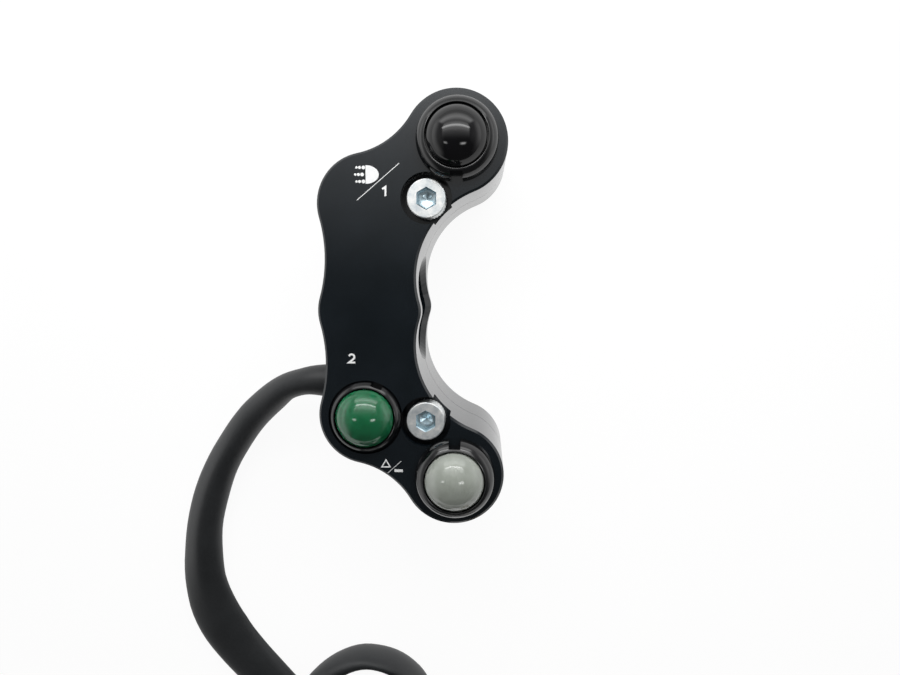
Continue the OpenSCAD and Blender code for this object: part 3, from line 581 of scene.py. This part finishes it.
# EPDM rubber from a blasted mould: flat black with no clear highlight
rubber = make_finish("EPDM_rubber_moulded", "#111112", "#1a1a1b", 0.5, (0.62, 0.78), 0.012, 8)

# Soft PVC sleeving, extruded: dark grey, a broad dull sheen along its sides and a fine grain
sleeving = make_finish("soft_PVC_extruded", "#202224", "#2b2d2f", 0.7, (0.44, 0.54), 0.012, 14)

# PVC wire insulation in three colours, extruded: waxy
red_wire = make_finish("PVC_insulation_red", "#7c2822", "#96352d", 0.5, (0.3, 0.42), 0.006, 6)
green_wire = make_finish("PVC_insulation_green", "#27623d", "#357a50", 0.5, (0.3, 0.42), 0.006, 6)
grey_wire = make_finish("PVC_insulation_grey", "#aaaca7", "#bfc1bc", 0.5, (0.3, 0.42), 0.006, 6)

# Natural nylon, moulded: milky off-white that lets a little light in
nylon = make_finish("nylon_natural_moulded", "#cfccbf", "#dedbd0", 0.8, (0.34, 0.48), 0.008, 9, **MILKY)

# Black nylon strap, moulded: semi-matt with a faint grain
strap_nylon = make_finish("nylon_black_moulded", "#161718", "#202122", 0.4, (0.4, 0.55), 0.01, 5)

# Pad-printed white ink: flat, opaque, a little thin in places
ink = make_finish("pad_print_ink_white", "#e9eaea", "#f6f6f6", 0.25, (0.5, 0.65), 0.002, 1.5)

NODE_FINISHES = {
    "front_shell": anodised, "rear_shell": anodised, "cable_grommet": rubber,
    "connector_shell": nylon, "connector_pins": brass,
    "black_cap": black_dome, "green_cap": green_dome, "grey_cap": grey_dome,
    "black_leads": red_wire, "green_leads": green_wire, "grey_leads": grey_wire,
}
SWITCH_FINISHES = {
    "bezel": bezel_abs, "gasket": rubber, "nut": nickel, "bridge": brass, "base": pbt, "terminals": brass,
}
for switch in SWITCHES:
    for part, finish in SWITCH_FINISHES.items():
        NODE_FINISHES[f"{switch}_{part}"] = finish


def dress(piece, finish):
    piece.data.materials.clear()
    piece.data.materials.append(finish)


for name, finish in NODE_FINISHES.items():
    dress(nodes[name], finish)
dress(sleeve, sleeving)
dress(tie, strap_nylon)
for spring in springs:
    dress(spring, spring_wire)
dress(screws, zinc)
# The faces inside the sockets take the painted bluish reflection
screws.data.materials.append(socket_painted_reflection)
for face in screws.data.polygons:
    from_axis = Vector((face.center.x - SCREW_X * MM, abs(face.center.y) - SCREW_Y * MM)).length
    if from_axis < FLAT_INNER_R * MM and SOCKET_FLOOR_Z - 1 < face.center.z / MM < HEAD_TOP_Z - 0.01:
        face.material_index = 1
dress(marks, ink)


# Stage: a white floor, which keeps a faint shadow, and plain studio light
# Half the floor's side in metres, and its gap under the housing in millimetres
FLOOR_HALF = 3.0
FLOOR_GAP = 0.1
FLOOR_WHITE = 1.04
# The rest of the share is paper, which takes the shadow
FLOOR_WHITE_SHARE = 0.9


def make_floor():
    half, z = FLOOR_HALF, (BACK_Z - FLOOR_GAP) * MM
    corners = [(-half, -half, z), (half, -half, z), (half, half, z), (-half, half, z)]
    mesh = bpy.data.meshes.new("floor")
    mesh.from_pydata(corners, [], [(0, 1, 2, 3)])
    floor = bpy.data.objects.new("floor", mesh)
    scene.collection.objects.link(floor)
    material = bpy.data.materials.new("white_paper")
    material.use_nodes = True
    tree = material.node_tree
    tree.nodes.clear()
    paths = add_node(tree, "ShaderNodeLightPath").outputs
    seen = add_node(tree, "ShaderNodeMath", {0: paths["Is Camera Ray"], 1: paths["Is Glossy Ray"]}, operation="MAXIMUM")
    seen = add_node(tree, "ShaderNodeMath", {0: seen.outputs[0], 1: paths["Is Transmission Ray"]}, operation="MAXIMUM")
    share = add_node(tree, "ShaderNodeMath", {0: seen.outputs[0], 1: FLOOR_WHITE_SHARE}, operation="MULTIPLY")
    paper = add_node(tree, "ShaderNodeBsdfDiffuse", {"Color": srgb("#f4f4f4")})
    white = add_node(tree, "ShaderNodeEmission", {"Color": (1, 1, 1, 1), "Strength": FLOOR_WHITE})
    mix = add_node(tree, "ShaderNodeMixShader", {0: share.outputs[0], 1: paper.outputs[0], 2: white.outputs[0]})
    add_node(tree, "ShaderNodeOutputMaterial", {"Surface": mix.outputs[0]})
    mesh.materials.append(material)


def make_world():
    """A dim room, lighter at the back and low down on both sides, and a white backdrop for the camera."""
    world = bpy.data.worlds.new("studio")
    world.use_nodes = True
    scene.world = world
    tree = world.node_tree
    tree.nodes.clear()
    way = add_node(tree, "ShaderNodeTexCoord").outputs["Generated"]
    axes = add_node(tree, "ShaderNodeSeparateXYZ", {0: way}).outputs

    def turn(axis, near, far, dim, bright):
        """A level that goes from dim to bright as the way along an axis goes from near to far."""
        return add_node(tree, "ShaderNodeMapRange", {
            "Value": axes[axis], "From Min": near, "From Max": far, "To Min": dim, "To Max": bright,
        }, interpolation_type="SMOOTHSTEP").outputs["Result"]

    def join(a, b, operation):
        return add_node(tree, "ShaderNodeMath", {0: a, 1: b}, operation=operation).outputs[0]

    left = join(turn("X", -0.5, -0.9, 0, 1.6), turn("Y", -0.6, 0.2, 0.7, 1), "MULTIPLY")
    right = join(turn("X", 0.5, 0.9, 0, 1.5), turn("Y", -0.6, 0.2, 0.15, 1), "MULTIPLY")
    sides = join(join(left, right, "MAXIMUM"), turn("Z", 0.1, 0.45, 1, 0.28), "MULTIPLY")
    level = join(turn("Y", -0.1, 0.8, 0.08, 0.5), sides, "MAXIMUM")
    seen = add_node(tree, "ShaderNodeLightPath").outputs["Is Camera Ray"]
    level = add_node(tree, "ShaderNodeMix", {"Factor": seen, "A": level, "B": 1.0}, data_type="FLOAT")
    back = add_node(tree, "ShaderNodeBackground", {"Color": (1, 1, 1, 1), "Strength": level.outputs["Result"]})
    add_node(tree, "ShaderNodeOutputWorld", {"Surface": back.outputs[0]})


def make_lamp(name, place, size, radiance, soft, fade, tilt=0):
    """A rectangular lamp in a light box, as bright to the eye as its radiance; it looks down before the tilt.

    Its two sides fade out over the share soft of its width, and fade gives its level at shares of its depth."""
    data = bpy.data.lights.new(name, "AREA")
    data.shape = "RECTANGLE"
    data.size, data.size_y = size[0] * MM, size[1] * MM
    data.energy = radiance * math.pi * data.size * data.size_y
    data.use_nodes = True
    tree = data.node_tree
    place_on_lamp = add_node(tree, "ShaderNodeNewGeometry").outputs["Parametric"]
    axes = add_node(tree, "ShaderNodeSeparateXYZ", {0: place_on_lamp}).outputs
    far_side = add_node(tree, "ShaderNodeMath", {0: 1.0, 1: axes["X"]}, operation="SUBTRACT").outputs[0]
    inset = add_node(tree, "ShaderNodeMath", {0: axes["X"], 1: far_side}, operation="MINIMUM").outputs[0]
    sides = add_node(tree, "ShaderNodeMapRange", {
        "Value": inset, "From Min": 0.0, "From Max": soft,
    }, interpolation_type="SMOOTHSTEP").outputs["Result"]
    ramp = add_node(tree, "ShaderNodeValToRGB", {"Fac": axes["Y"]})
    stops = ramp.color_ramp.elements
    for i, (share, level) in enumerate(fade):
        stop = stops[i] if i < 2 else stops.new(share)
        stop.position = share
        stop.color = (level, level, level, 1)
    level = add_node(tree, "ShaderNodeMath", {0: sides, 1: ramp.outputs["Color"]}, operation="MULTIPLY")
    tree.links.new(level.outputs[0], tree.nodes["Emission"].inputs["Strength"])
    lamp = bpy.data.objects.new(name, data)
    lamp.location = Vector(place) * MM
    lamp.rotation_euler = (math.radians(tilt), 0, 0)
    lamp.visible_camera = False
    scene.collection.objects.link(lamp)


# Levels at shares of a lamp's depth: its two ends first, then the stops between
STRIP_FADE = [(0.0, 0.0), (1.0, 0.0), (0.3, 0.5), (0.6, 1.0), (0.8, 0.9)]
SPOT_FADE = [(0.0, 0.0), (1.0, 0.0), (0.3, 0.85), (0.5, 1.0), (0.7, 0.85)]
CEILING_FADE = [
    (0.0, 0.0), (1.0, 0.25), (0.1, 0.03), (0.17, 0.1), (0.25, 0.2), (0.33, 0.31), (0.41, 0.48), (0.49, 0.9),
    (0.8, 1.0), (0.91, 0.5),
]
BACK_FADE = [(0.0, 0.2), (1.0, 0.1), (0.12, 0.35), (0.25, 0.65), (0.45, 1.0), (0.64, 0.6), (0.82, 0.12)]
make_floor()
make_world()
make_lamp("strip_light", (12, 88, 107), (205, 19), 7, 0.06, tilt=-35, fade=STRIP_FADE)
make_lamp("left_spot", (-92, -32, 150), (70, 30), 5, 0.4, fade=SPOT_FADE)
make_lamp("right_spot", (82, -36, 150), (80, 30), 7, 0.4, fade=SPOT_FADE)
make_lamp("ceiling_glow", (10, 87, 150), (300, 187), 2.2, 0.1, fade=CEILING_FADE)
make_lamp("back_glow", (10, 172, 85), (340, 120), 3.0, 0.12, tilt=-90, fade=BACK_FADE)
